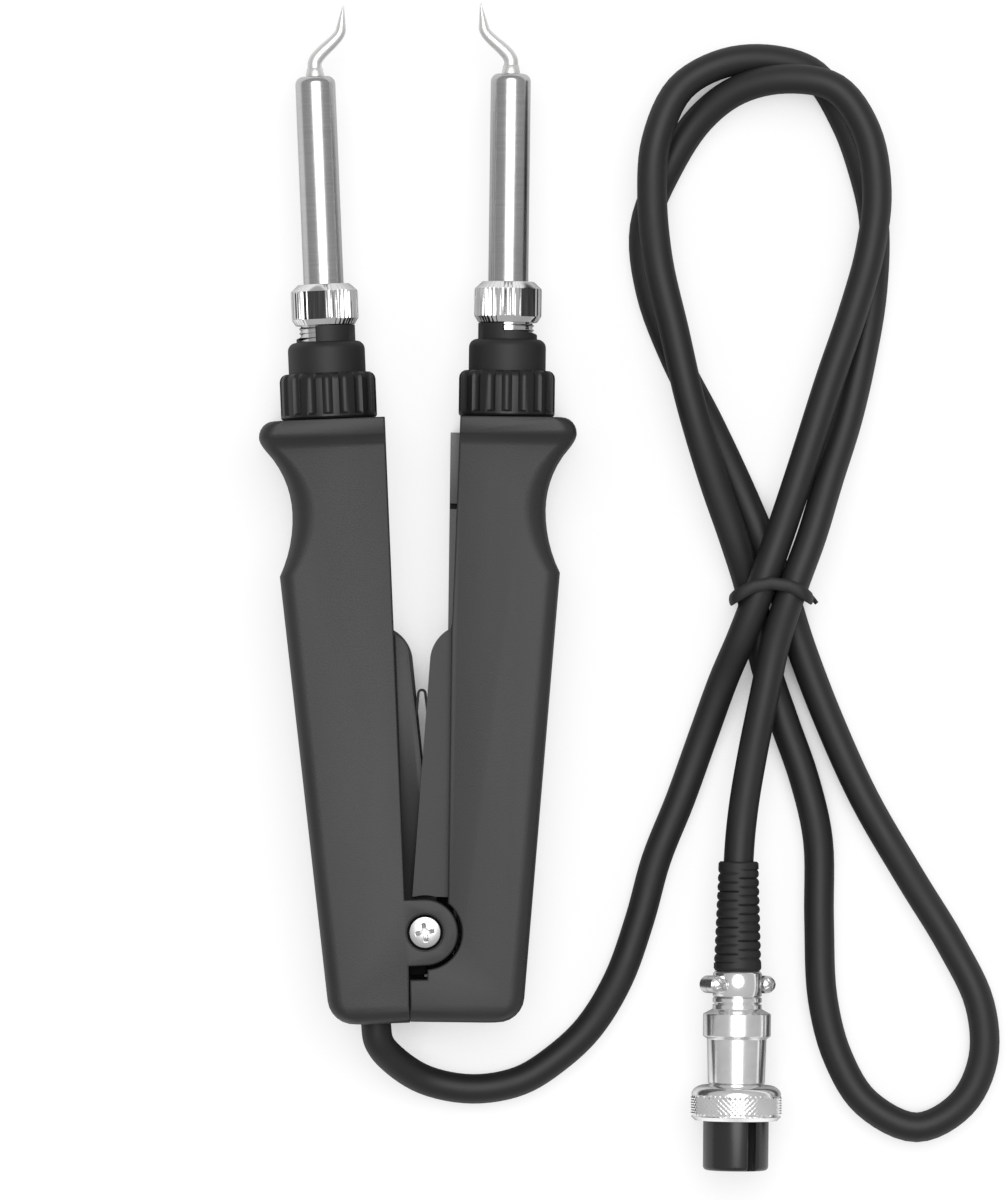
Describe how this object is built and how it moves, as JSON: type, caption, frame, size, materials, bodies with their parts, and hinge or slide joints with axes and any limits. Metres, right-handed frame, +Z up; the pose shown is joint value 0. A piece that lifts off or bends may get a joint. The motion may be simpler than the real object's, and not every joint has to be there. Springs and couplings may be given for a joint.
{
  "type": "soldering tweezers",
  "caption": "Heated soldering tweezers: hinged plastic arms with steel heater barrels and bent needle tips, sprung open, with a tied lead and a round plug with a threaded coupling ring.",
  "frame": {"origin": "on the table, at the middle of the footprint of the tweezers without their lead", "axes": "+Y along the tweezers from the hinge to the tips, +Z up from the table, +X towards the arm that carries no cord"},
  "size_m": [0.1461, 0.2344, 0.0224],
  "materials": {
    "arm_plastic": "dark grey moulded plastic, finely grained",
    "black_plastic": "black moulded phenolic, semi-gloss",
    "chrome_plate": "bright plated brass",
    "barrel_steel": "drawn stainless tube, satin",
    "tip_plate": "iron-plated copper, satin",
    "screw_steel": "zinc-plated steel",
    "spring_steel": "blackened spring steel strip",
    "ceramic": "white fired ceramic",
    "brass": "turned brass",
    "red_lead": "red silicone insulation",
    "black_lead": "black silicone insulation",
    "cord_rubber": "black sheath, satin",
    "tie_plastic": "black wire tie, satin",
    "boot_rubber": "black moulded rubber"
  },
  "bodies": {
    "left_arm": {"left_upper_shell": "arm_plastic", "left_lower_shell": "arm_plastic", "left_ring_nut": "black_plastic", "left_heater_holder": "black_plastic", "left_thread_bush": "chrome_plate", "left_barrel_nut": "chrome_plate", "left_barrel": "barrel_steel", "left_heater": "ceramic", "left_tip": "tip_plate", "left_housing_screws": "screw_steel", "opening_spring": "spring_steel", "left_leads": "red_lead", "crossing_leads": "black_lead", "cord_clamp": "arm_plastic", "cord_clamp_screw": "screw_steel", "cord": "cord_rubber", "cord_tie": "tie_plastic", "plug_boot": "boot_rubber", "plug_clamp": "chrome_plate", "plug_clamp_screws": "screw_steel", "plug_shell": "chrome_plate", "plug_insert": "black_plastic", "plug_contacts": "brass"},
    "right_arm": {"right_upper_shell": "arm_plastic", "right_lower_shell": "arm_plastic", "right_ring_nut": "black_plastic", "right_heater_holder": "black_plastic", "right_thread_bush": "chrome_plate", "right_barrel_nut": "chrome_plate", "right_barrel": "barrel_steel", "right_heater": "ceramic", "right_tip": "tip_plate", "right_housing_screws": "screw_steel", "hinge_screw": "screw_steel", "hinge_bush": "brass", "hinge_nut": "screw_steel"},
    "coupling_ring": {"plug_coupling_ring": "chrome_plate"}
  },
  "joints": [
    {"name": "arm_hinge", "type": "hinge", "parent": "left_arm", "child": "right_arm", "pos_m": [0, -0.08355, 0.0112], "axis": [0, 0, 1], "range_deg": [0, 8.3], "stiffness_Nm_per_rad": 0.6, "springref_deg": -5.73, "deforming": ["opening_spring", "crossing_leads"]},
    {"name": "coupling_ring_turn", "type": "hinge", "parent": "left_arm", "child": "coupling_ring", "pos_m": [0.06172, -0.11874, 0.00915], "axis": [-0.0244, -0.9997, 0], "continuous": true}
  ]
}
